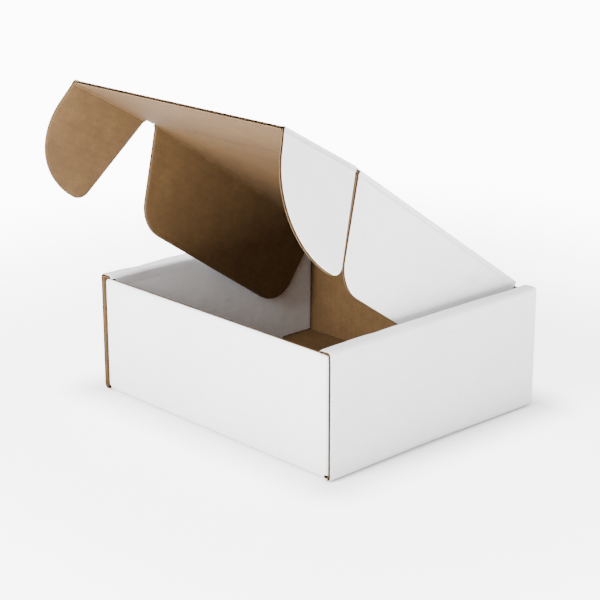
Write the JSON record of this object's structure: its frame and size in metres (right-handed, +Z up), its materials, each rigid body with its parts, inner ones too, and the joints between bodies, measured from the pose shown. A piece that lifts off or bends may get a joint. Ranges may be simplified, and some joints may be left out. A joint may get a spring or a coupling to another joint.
{
  "type": "corrugated mailer box",
  "caption": "Roll-end mailer box of white-faced kraft corrugated board, with a hinged lid, side flaps, tuck flap and round ears",
  "frame": {"origin": "middle of the underside of the tray's floor", "axes": "+Z up out of the tray, +Y towards the lid's hinge, +X to the right seen from the front; the box is the same on both sides of the YZ plane"},
  "size_m": [0.1562, 0.1429, 0.1376],
  "materials": {
    "board": "matt white liner outside, brown kraft liner inside, fluted cut edges"
  },
  "bodies": {
    "tray": {"tray": "board"},
    "lid": {"lid_panel": "board"},
    "tuck": {"tuck_flap": "board"},
    "side_flap_left": {"lid_side_flap_left": "board"},
    "side_flap_right": {"lid_side_flap_right": "board"},
    "ear_left": {"tuck_ear_left": "board"},
    "ear_right": {"tuck_ear_right": "board"}
  },
  "joints": [
    {"name": "lid_hinge", "type": "hinge", "parent": "tray", "child": "lid", "pos_m": [0, 0.0582, 0.0512], "axis": [-1, 0, 0], "range_deg": [-34, 146]},
    {"name": "tuck_hinge", "type": "hinge", "parent": "lid", "child": "tuck", "pos_m": [0, -0.03673, 0.11523], "axis": [-1, 0, 0], "range_deg": [-85.5, 4.5]},
    {"name": "side_flap_left_hinge", "type": "hinge", "parent": "lid", "child": "side_flap_left", "pos_m": [-0.0597, 0.0126, 0.08196], "axis": [0, -0.829, 0.5592], "range_deg": [0, 35]},
    {"name": "side_flap_right_hinge", "type": "hinge", "parent": "lid", "child": "side_flap_right", "pos_m": [0.0597, 0.0126, 0.08196], "axis": [0, 0.829, -0.5592], "range_deg": [0, 35]},
    {"name": "ear_left_hinge", "type": "hinge", "parent": "tuck", "child": "ear_left", "pos_m": [-0.0616, -0.05587, 0.12606], "axis": [0, 0.8704, -0.4924], "range_deg": [-21, 69]},
    {"name": "ear_right_hinge", "type": "hinge", "parent": "tuck", "child": "ear_right", "pos_m": [0.0616, -0.05587, 0.12606], "axis": [0, -0.8704, 0.4924], "range_deg": [-21, 69]}
  ]
}
